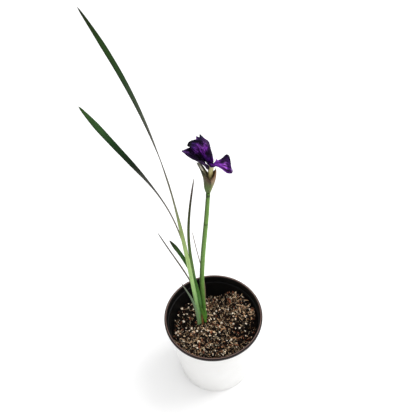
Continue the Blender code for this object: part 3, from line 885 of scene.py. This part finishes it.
STEM_GAIN = 0.8
STEM_VIVID = 1.3
STEM_COLOURS = [
    (0.0, (100, 150, 78)), (0.3, (118, 152, 90)), (0.6, (132, 164, 104)), (0.79, (124, 156, 94)),
    (0.8, (70, 92, 46)), (0.81, (124, 156, 94)), (0.972, (116, 148, 86)), (0.985, (46, 62, 34)),
    (1.0, (112, 144, 84)),
]
# Painted shade and light across the stem: dark on its left side, light on its right side.
STEM_PAINTED_SHADE = [(0.05, 0.3), (0.28, 0.55), (0.5, 1.0), (0.85, 1.3)]
TUBE_COLOURS = [
    (0.0, (130, 150, 84)), (0.5, (178, 160, 112)), (0.72, (206, 192, 128)), (0.9, (214, 208, 152)),
    (1.0, (220, 214, 172)),
]
# Painted shade and light across the tube: dark on its left side, light on its right side.
TUBE_PAINTED_SHADE = [(0.05, 0.5), (0.3, 0.85), (0.7, 1.1), (0.95, 1.35)]
BRACT_GAIN = 0.85
BRACT_VIVID = 1.2
BRACT_COLOURS = {
    "bract_right": (
        [
            (0, (104, 120, 78)), (0.2, (140, 148, 100)), (0.36, (150, 148, 112)), (0.52, (162, 142, 120)),
            (0.75, (150, 120, 94)), (1, (116, 84, 60)),
        ],
        [((126, 96, 72), 0.0, 0.72, 0.2, 0.26, 0.9), ((112, 82, 54), 0.95, 0.72, 0.35, 0.4, 0.9)],
    ),
    "bract_left": (
        [
            (0, (90, 113, 70)), (0.2, (95, 116, 70)), (0.45, (92, 88, 64)), (0.62, (84, 80, 56)),
            (0.85, (86, 88, 62)), (0.96, (188, 187, 172)), (1, (196, 194, 182)),
        ],
        [
            ((82, 72, 38), 0.0, 0.3, 0.3, 0.16, 0.9), ((80, 60, 46), 1.0, 0.5, 0.2, 0.16, 0.9),
            ((168, 164, 134), 0.25, 0.56, 0.15, 0.12, 0.9), ((240, 236, 214), 0.27, 0.7, 0.15, 0.14, 1.0),
            # The near-black patch (26, 16, 20) at the bract's edge is a painted shadow line where the bract
            # meets the petals.
            ((160, 157, 140), 0.2, 0.83, 0.3, 0.1, 0.9), ((26, 16, 20), 0.0, 0.7, 0.17, 0.12, 1.0),
            ((44, 50, 26), 0.8, 0.76, 0.28, 0.16, 1.0),
        ],
    ),
}
PETAL_VIVID = 1.08
RIGHT_FALL_GAIN = 0.62
PETAL_COLOURS = {
    "fall_right": (
        [
            (0, (66, 26, 96)), (0.3, (80, 34, 116)), (0.5, (102, 50, 136)), (0.62, (106, 54, 136)),
            (0.75, (66, 26, 92)), (1, (62, 26, 86)),
        ],
        [
            # The lilac patch at the haft's edge is the haft's lighter colour with painted sheen on it; the
            # lilac patches along the fold and near the tip are painted highlights; the near-black patch over
            # the blade's far half is painted shade.
            ((136, 92, 154), 1.0, 0.34, 0.24, 0.12, 0.9), ((30, 12, 46), 1.05, 0.72, 0.62, 0.3, 1.0),
            ((124, 72, 152), 0.45, 0.67, 0.26, 0.08, 0.9), ((142, 112, 162), 0.05, 0.98, 0.42, 0.12, 0.95),
        ],
    ),
    "fall_left": (
        [(0, (56, 38, 40)), (0.15, (34, 22, 42)), (0.6, (38, 24, 52)), (1, (50, 32, 64))],
        [((100, 54, 132), 0.0, 0.5, 0.26, 0.2, 0.95), ((64, 38, 84), 0.25, 0.85, 0.28, 0.18, 0.8)],
    ),
    "fall_back": (
        [(0, (44, 28, 60)), (0.66, (62, 44, 78)), (0.8, (30, 16, 48)), (1, (24, 15, 40))],
        [((94, 52, 116), 0.85, 0.98, 0.36, 0.1, 0.95)],
    ),
    "standard_front": (
        [
            (0, (60, 26, 90)), (0.2, (46, 18, 76)), (0.45, (62, 28, 92)), (0.6, (60, 22, 86)),
            (0.78, (86, 38, 114)),
            (1, (90, 48, 120)),
        ],
        [
            # The lilac patch near the top is a painted highlight along the fold of the upper margin.
            ((24, 15, 32), 1.0, 0.5, 0.45, 0.3, 0.95), ((112, 64, 140), 0.55, 0.93, 0.35, 0.08, 0.9),
            ((100, 54, 124), 1.0, 0.18, 0.25, 0.1, 0.9),
        ],
    ),
    "standard_left": (
        # On the left standard the near-black tip stops and the near-black patch are painted shade of the
        # hollow in the flower's middle, and the lilac patch is a painted highlight along a fold.
        [
            (0, (40, 18, 60)), (0.5, (60, 35, 72)), (0.64, (62, 32, 84)), (0.8, (50, 25, 80)),
            (0.9, (20, 18, 26)), (1, (13, 12, 16)),
        ],
        [((92, 46, 122), 0.85, 0.68, 0.42, 0.1, 0.95), ((24, 18, 34), 0.0, 0.74, 0.35, 0.2, 0.9)],
    ),
    "standard_right": (
        [
            (0, (30, 18, 34)), (0.45, (34, 24, 46)), (0.62, (50, 28, 62)), (0.84, (52, 28, 68)),
            (0.92, (28, 22, 42)), (1, (16, 14, 28)),
        ],
        [((100, 66, 124), 0.0, 0.74, 0.26, 0.14, 0.9)],
    ),
}
STYLE_COLOURS = [(0, (70, 34, 92)), (1, (124, 84, 150))]


def looks(stops, gain, vivid=1.0, fade=0.0):
    """Stops whose colours are given for the eye, as the light they send back; fade dims the tip."""
    return [(place, shade(*colour, gain * (1 - fade * place), vivid)) for place, colour in stops]


def patch_looks(patches, gain, vivid=1.0):
    return [(shade(*colour, gain, vivid), *rest) for colour, *rest in patches]


# Operators

class IRIS_OT_pot(bpy.types.Operator):
    """Builds the nursery pot"""

    bl_idname = "iris.pot"
    bl_label = "Pot"

    def execute(self, context):
        pot = context.scene.iris_pot
        top, wall = pot.height, pot.wall
        low = top - STEP_BELOW_RIM
        inner_top = pot.wall_top - wall
        roll = (pot.rim - inner_top) / 2
        middle = inner_top + roll

        def inner(z):
            return pot.base - wall + (pot.wall_top - pot.base) * z / top - 0.5 * MM

        profile = [(0, 2 * MM), (pot.base - wall - 3 * MM, 2 * MM), (inner(3.2 * MM), 3.2 * MM)]
        profile += [(inner(5 * MM), 5 * MM), (inner(low), low), (inner_top - 0.3 * MM, low + 0.4 * MM)]
        profile += [(inner_top, low + 2 * MM), (inner_top, top - roll)]
        for k in range(1, 12):
            angle = math.pi * (1 - k / 12)
            profile.append((middle + roll * math.cos(angle), top - roll + roll * math.sin(angle)))
        lip = top - RIM_DROP
        profile += [(pot.rim, top - roll), (pot.rim, lip + 0.3 * MM), (pot.rim - 0.3 * MM, lip)]
        profile += [(pot.rim - 1 * MM, lip), (pot.rim - 1 * MM, lip + 1.5 * MM)]
        profile += [(pot.wall_top, lip + 1.5 * MM)]
        rim_end = len(profile) - 1
        profile += [(pot.wall_top - 0.05 * MM, lip), (pot.base, 3 * MM), (pot.base - 0.8 * MM, 0.8 * MM)]
        profile += [(pot.base - 2.5 * MM, 0), (0, 0)]
        bm = turned(profile, pot.steps)
        heights = {"black": top - roll * 1.3, "rim": profile[rim_end][1]}
        for face in bm.faces:
            centre = face.calc_center_median()
            reach = math.hypot(centre.x, centre.y)
            if face.normal.x * centre.x + face.normal.y * centre.y < 0 and centre.z < heights["black"]:
                face.material_index = 1
            elif centre.z > heights["rim"] or reach > pot.wall_top + 0.2 * MM:
                face.material_index = 2
            elif centre.z > 1.5 * MM and reach < pot.base - wall - 2 * MM:
                face.material_index = 1
        made = to_object("pot_turned", bm, [pot_white(), pot_black(), pot_rim()])
        made.data.set_sharp_from_angle(angle=math.radians(50))
        self.drill(made)
        keep(made, "pot_plastic", "pot")
        return {"FINISHED"}

    def drill(self, made):
        """Cuts the drain holes through the floor."""
        bm = bmesh.new()
        for k in range(DRAIN_HOLES):
            angle = 2 * math.pi * (k + 0.5) / DRAIN_HOLES
            place = (DRAIN_CIRCLE * math.cos(angle), DRAIN_CIRCLE * math.sin(angle), 1 * MM)
            bmesh.ops.create_cone(
                bm, cap_ends=True, segments=32, radius1=DRAIN_RADIUS, radius2=DRAIN_RADIUS, depth=6 * MM,
                matrix=Matrix.Translation(place),
            )
        cutter = to_object("drain_cutter", bm, [])
        cut = made.modifiers.new("drains", "BOOLEAN")
        cut.operation = "DIFFERENCE"
        cut.solver = "EXACT"
        cut.object = cutter
        baked(made)
        bpy.data.objects.remove(cutter)


class IRIS_OT_mix(bpy.types.Operator):
    """Builds the potting mix with its bark chips, white grains and fibres"""

    bl_idname = "iris.mix"
    bl_label = "Potting mix"

    def execute(self, context):
        settings = context.scene.iris_mix
        self.ground()
        rng = np.random.default_rng(settings.seed)
        bark = [
            (x + rng.normal(0, 0.5) * size, y + rng.normal(0, 0.5) * size, size * rng.uniform(0.45, 0.8),
             rng.uniform(0, 360), rng.uniform(0.36, 0.66))
            for x, y, size in BIG_BARK for _ in range(BARK_SPLITS)
        ]
        sticks = [(*stick, rng.uniform(0.66, 0.86)) for stick in STICKS]
        grains = [(x, y, size, rng.uniform(0, 360), rng.uniform(0.55, 1)) for x, y, size in BIG_GRAINS]
        self.strew("mix_crumbs", "crumb", settings.crumbs, rng)
        self.strew("mix_chips", "chip", settings.chips, rng, bark)
        self.strew("mix_sticks", "stick", SMALL_STICKS, rng, sticks)
        self.strew("mix_grains", "grain", settings.grains, rng, grains)
        self.strew("mix_fibres", "fibre", settings.fibres, rng)
        return {"FINISHED"}

    def litter(self, x, y):
        """Share of the pale bits that lie at (x, y): few of them at the left back and the right front."""
        left = ease((-x - 20 * MM) / (24 * MM)) * ease((y + 2 * MM) / (18 * MM))
        right = ease((x - 28 * MM) / (16 * MM)) * ease((16 * MM - y) / (22 * MM))
        return 1 - 0.66 * float(max(left, right))

    def wall_radius(self, z):
        return INNER_FOOT + INNER_SPREAD * z / POT_HEIGHT

    def ground(self):
        """The body of the mix: a turned plug with an uneven top."""
        edge = self.wall_radius(SOIL_LEVEL) - 0.3 * MM
        profile = [(edge * k / MIX_RINGS, SOIL_LEVEL) for k in range(MIX_RINGS + 1)]
        profile += [(self.wall_radius(5 * MM) - 0.4 * MM, 5 * MM), (60 * MM, 2.4 * MM), (0, 2.4 * MM)]
        bm = turned(profile, MIX_STEPS)
        for vert in bm.verts:
            if vert.co.z > SOIL_LEVEL - 1 * MM:
                x, y = vert.co.x, vert.co.y
                height = float(soil_height(x, y))
                grown = (self.wall_radius(height) - 0.3 * MM) / edge
                x, y = x * grown, y * grown
                rough = noise.noise(Vector((x, y, 0)) * 260) * 1.6
                rough += noise.noise(Vector((x, y, 1)) * 700) * 0.7
                vert.co = (x, y, height - GROUND_DROP + rough * MM)
        made = to_object("mix_ground", bm, [mix_ground()])
        keep(made, "potting_mix", "soil")

    def strew(self, name, kind, count, rng, chosen=()):
        """Scatters bits of one kind after the chosen ones: x, y, half length (mm), turn (degrees), tone."""
        shapes = bit_shapes("chip" if kind in ("crumb", "stick") else kind, BIT_SHAPES, rng)
        places, sizes, tones, turns = [], [], [], []
        while len(places) < count + len(chosen):
            draw = rng.random(6)
            if len(places) < len(chosen):
                x, y, length, angle, tone = chosen[len(places)]
                x, y, length, angle = x * MM, y * MM, length * MM, math.radians(angle)
                fixed = True
            else:
                reach = math.sqrt(draw[0]) * MIX_REACH * MM
                angle = draw[1] * 2 * math.pi
                x, y = reach * math.cos(angle), reach * math.sin(angle)
                angle, tone, length, fixed = draw[2] * 2 * math.pi, draw[3], None, False
                clump = 0.5 + 0.8 * noise.noise(Vector((x * 60 + 3, y * 60, 5)))
                chance = 1 if kind == "crumb" else self.litter(x, y) * (0.3 + 0.7 * clump)
                if draw[4] > chance:
                    continue
            height = float(soil_height(x, y))
            if math.hypot(x, y) > self.wall_radius(height) - (1.2 * MM if fixed else 1.8 * MM):
                if not fixed:
                    continue
                inward = (self.wall_radius(height) - 2.5 * MM) / math.hypot(x, y)
                x, y = x * inward, y * inward
            length = length or self.half_length(kind, draw[5])
            wide, flat, up = {
                "crumb": (0.8, 0.6, -0.9), "chip": (0.5, 0.3, -0.5), "stick": (0.15, 0.13, -0.1),
                "grain": (0.9, 0.8, -0.5), "fibre": (0, 0, -0.3),
            }[kind]
            size = (length, length * wide, length * flat)
            if kind == "fibre":
                size = (0.26 * MM, 0.26 * MM, length)
            normal = Vector((
                float(soil_height(x - 1 * MM, y) - soil_height(x + 1 * MM, y)),
                float(soil_height(x, y - 1 * MM) - soil_height(x, y + 1 * MM)),
                2 * MM,
            )).normalized()
            if kind == "fibre":
                flat_way = Vector((math.cos(angle), math.sin(angle), rng.normal(0, 0.25)))
                turn = flat_way.to_track_quat("Z", "Y")
            else:
                tilt = Vector(rng.normal(0, 0.12 if kind == "stick" else 0.4, 3)) + normal
                turn = tilt.to_track_quat("Z", "Y") @ Matrix.Rotation(angle, 3, "Z").to_quaternion()
            places.append(np.array((x, y, height + up * MM + size[2] * (0 if kind == "fibre" else 0.5))))
            sizes.append(np.array(size))
            tones.append(tone)
            turns.append(turn)
        label, stops = MIX_FINISHES[kind]
        keep(scatter(name, shapes, places, sizes, tones, turns, bits(label, stops)), "potting_mix")

    def half_length(self, kind, draw):
        """Half length of a bit: most are small."""
        smallest, largest, power = {
            "crumb": (0.5, 1.5, 2), "chip": (0.55, 2.3, 3), "stick": (2, 4.2, 2),
            "grain": (0.4, 1.2, 3), "fibre": (1.8, 6.5, 2),
        }[kind]
        return (smallest + (largest - smallest) * draw**power) * MM


class IRIS_OT_leaves(bpy.types.Operator):
    """Builds the leaves and the dry sheath at the plant's foot"""

    bl_idname = "iris.leaves"
    bl_label = "Leaves"

    def execute(self, context):
        thick = context.scene.iris_plant.leaf_thickness / MM
        for name, shape in LEAF_SHAPES.items():
            dry = "dry" in name
            rows = max(24, min(220, int(shape["length"] / 3)))
            stops = looks(LEAF_COLOURS[name], LEAF_GAIN, LEAF_VIVID, LEAF_FADE)
            paint = leaf_paint(name + "_skin", stops, 9.0 if dry else 22.0)
            made = blade(name + "_blade", shape, 8, rows, DRY_THICK if dry else thick, [paint], edge=0.6)
            keep(made, "dry_leaf" if dry else "leaf_green", name)
        return {"FINISHED"}


class IRIS_OT_stem(bpy.types.Operator):
    """Builds the flower stem, the two bracts and the flower's tube"""

    bl_idname = "iris.stem"
    bl_label = "Stem and bracts"

    def execute(self, context):
        t = np.linspace(0, 1, 110)
        points, _, _ = spine(np.array(STEM_FOOT), STEM_LENGTH, (STEM_AZIMUTH,) * 2, STEM_LEANS, t)
        radii = smooth(STEM_RADII, t) + 0.25 * np.exp(-(((t - 0.985) / 0.008) ** 2))
        skin = rod_paint("stem_skin", looks(STEM_COLOURS, STEM_GAIN, STEM_VIVID), STEM_PAINTED_SHADE, 34)
        keep(rod("stem_rod", points, radii, 24, [skin]), "stem_green", "flower_stem")
        t = np.linspace(0, 1, 40)
        points = np.array(OVARY_FOOT) + np.outer(t, np.subtract(TUBE_TOP, OVARY_FOOT))
        skin = rod_paint("tube_skin", looks(TUBE_COLOURS, STEM_GAIN), TUBE_PAINTED_SHADE, 14)
        keep(rod("tube_rod", points, smooth(OVARY_RADII, t), 24, [skin]), "tube_yellow_green", "ovary")
        for name, shape in BRACTS.items():
            stops, patches = BRACT_COLOURS[name]
            stops, patches = looks(stops, BRACT_GAIN, BRACT_VIVID), patch_looks(patches, BRACT_GAIN)
            paint = bract_paint(name + "_skin", stops, patches)
            made = blade(name + "_sheet", shape, 24, 48, 0.6, [paint], crimp=0.25)
            keep(made, "spathe", name)
        return {"FINISHED"}


class IRIS_OT_flower(bpy.types.Operator):
    """Builds the flower's petals and style arms"""

    bl_idname = "iris.flower"
    bl_label = "Flower"

    def execute(self, context):
        plant = context.scene.iris_plant
        for name, (stops, patches) in PETAL_COLOURS.items():
            gain = plant.petal_gain * (RIGHT_FALL_GAIN if name == "fall_right" else 1)
            stops, patches = looks(stops, gain, PETAL_VIVID), patch_looks(patches, gain, PETAL_VIVID)
            paint = petal_paint(name + "_velvet", stops, patches)
            thick = plant.petal_thickness / MM
            made = blade(name + "_petal", PETALS[name], 36, 60, thick, [paint], edge=0.6, crimp=0.5)
            keep(made, "petal_purple", name)
        for name, shape in STYLES.items():
            paint = petal_paint(name + "_velvet", looks(STYLE_COLOURS, plant.petal_gain), veins=8)
            made = blade(name + "_arm", shape, 8, 24, 0.6, [paint], edge=0.6)
            keep(made, "style_lilac", name)
        return {"FINISHED"}


class IRIS_OT_stage(bpy.types.Operator):
    """Sets the pale floor, the soft light and the camera"""

    bl_idname = "iris.stage"
    bl_label = "Stage"

    def execute(self, context):
        scene = context.scene
        bm = bmesh.new()
        bmesh.ops.create_grid(bm, x_segments=1, y_segments=1, size=6)
        floor = to_object("floor", bm, [floor_paint()])
        scene.world = self.sky()
        self.lamp("key", KEY_PLACE, KEY_SIZE, KEY_POWER)
        self.camera(scene)
        scene.view_settings.view_transform = "Standard"
        return {"FINISHED"}

    def sky(self):
        """White light all round, strongest from above and a little stronger from the right."""
        world = bpy.data.worlds.new("studio")
        world.use_nodes = True
        nodes, links = world.node_tree.nodes, world.node_tree.links
        where = nodes.new("ShaderNodeTexCoord")
        split = nodes.new("ShaderNodeSeparateXYZ")
        links.new(where.outputs["Generated"], split.inputs[0])
        height = nodes.new("ShaderNodeMapRange")
        links.new(split.outputs["Z"], height.inputs["Value"])
        side = nodes.new("ShaderNodeMapRange")
        links.new(split.outputs["X"], side.inputs["Value"])
        for node, span in ((height, (0.0, 0.8, 0.35, 1.35)), (side, (-1.0, 1.0, 0.75, 1.25))):
            for socket, value in zip(("From Min", "From Max", "To Min", "To Max"), span):
                node.inputs[socket].default_value = value
        strength = nodes.new("ShaderNodeMath")
        strength.operation = "MULTIPLY"
        links.new(height.outputs[0], strength.inputs[0])
        links.new(side.outputs[0], strength.inputs[1])
        back = nodes["Background"]
        back.inputs["Color"].default_value = (1, 1, 1, 1)
        links.new(strength.outputs[0], back.inputs["Strength"])
        return world

    def lamp(self, name, place, size, power):
        data = bpy.data.lights.new(name, "AREA")
        data.size = size
        data.energy = power
        lamp = bpy.data.objects.new(name, data)
        lamp.location = place
        lamp.rotation_euler = (Vector((0, 0, 0.2)) - Vector(place)).to_track_quat("-Z", "Y").to_euler()
        bpy.context.scene.collection.objects.link(lamp)

    def camera(self, scene):
        data = bpy.data.cameras.new("camera")
        data.sensor_width = SENSOR
        data.lens = SENSOR * FOCAL_PIXELS / IMAGE
        data.clip_start = 0.01
        camera = bpy.data.objects.new("camera", data)
        forward = Vector((0, math.cos(CAMERA_DOWN), -math.sin(CAMERA_DOWN)))
        right = Vector((1, 0, 0))
        up = right.cross(forward)
        turned_right = right * math.cos(CAMERA_ROLL) + up * math.sin(CAMERA_ROLL)
        turned_up = up * math.cos(CAMERA_ROLL) - right * math.sin(CAMERA_ROLL)
        axes = Matrix((turned_right, turned_up, -forward)).transposed()
        camera.matrix_world = Matrix.Translation(CAMERA_PLACE) @ axes.to_4x4()
        scene.collection.objects.link(camera)
        scene.camera = camera


class IRIS_PT_panel(bpy.types.Panel):
    """Lists the settings and the steps"""

    bl_idname = "IRIS_PT_panel"
    bl_label = "Potted iris"
    bl_space_type = "VIEW_3D"
    bl_region_type = "UI"
    bl_category = "Iris"

    def draw(self, context):
        layout = self.layout
        for group in (context.scene.iris_pot, context.scene.iris_mix, context.scene.iris_plant):
            box = layout.box()
            for name in group.__annotations__:
                box.prop(group, name)
        for step in STEPS:
            layout.operator(step)


SETTINGS = {"iris_pot": PotSettings, "iris_mix": MixSettings, "iris_plant": PlantSettings}
STEPS = ("iris.pot", "iris.mix", "iris.leaves", "iris.stem", "iris.flower", "iris.stage")
CLASSES = (
    PotSettings, MixSettings, PlantSettings, IRIS_OT_pot, IRIS_OT_mix, IRIS_OT_leaves, IRIS_OT_stem,
    IRIS_OT_flower, IRIS_OT_stage, IRIS_PT_panel,
)


def register():
    for one in CLASSES:
        bpy.utils.register_class(one)
    for name, group in SETTINGS.items():
        setattr(bpy.types.Scene, name, bpy.props.PointerProperty(type=group))


def unregister():
    for name in SETTINGS:
        delattr(bpy.types.Scene, name)
    for one in reversed(CLASSES):
        bpy.utils.unregister_class(one)


def main():
    register()
    for step in STEPS:
        group, name = step.split(".")
        getattr(getattr(bpy.ops, group), name)()


if __name__ == "__main__":
    main()
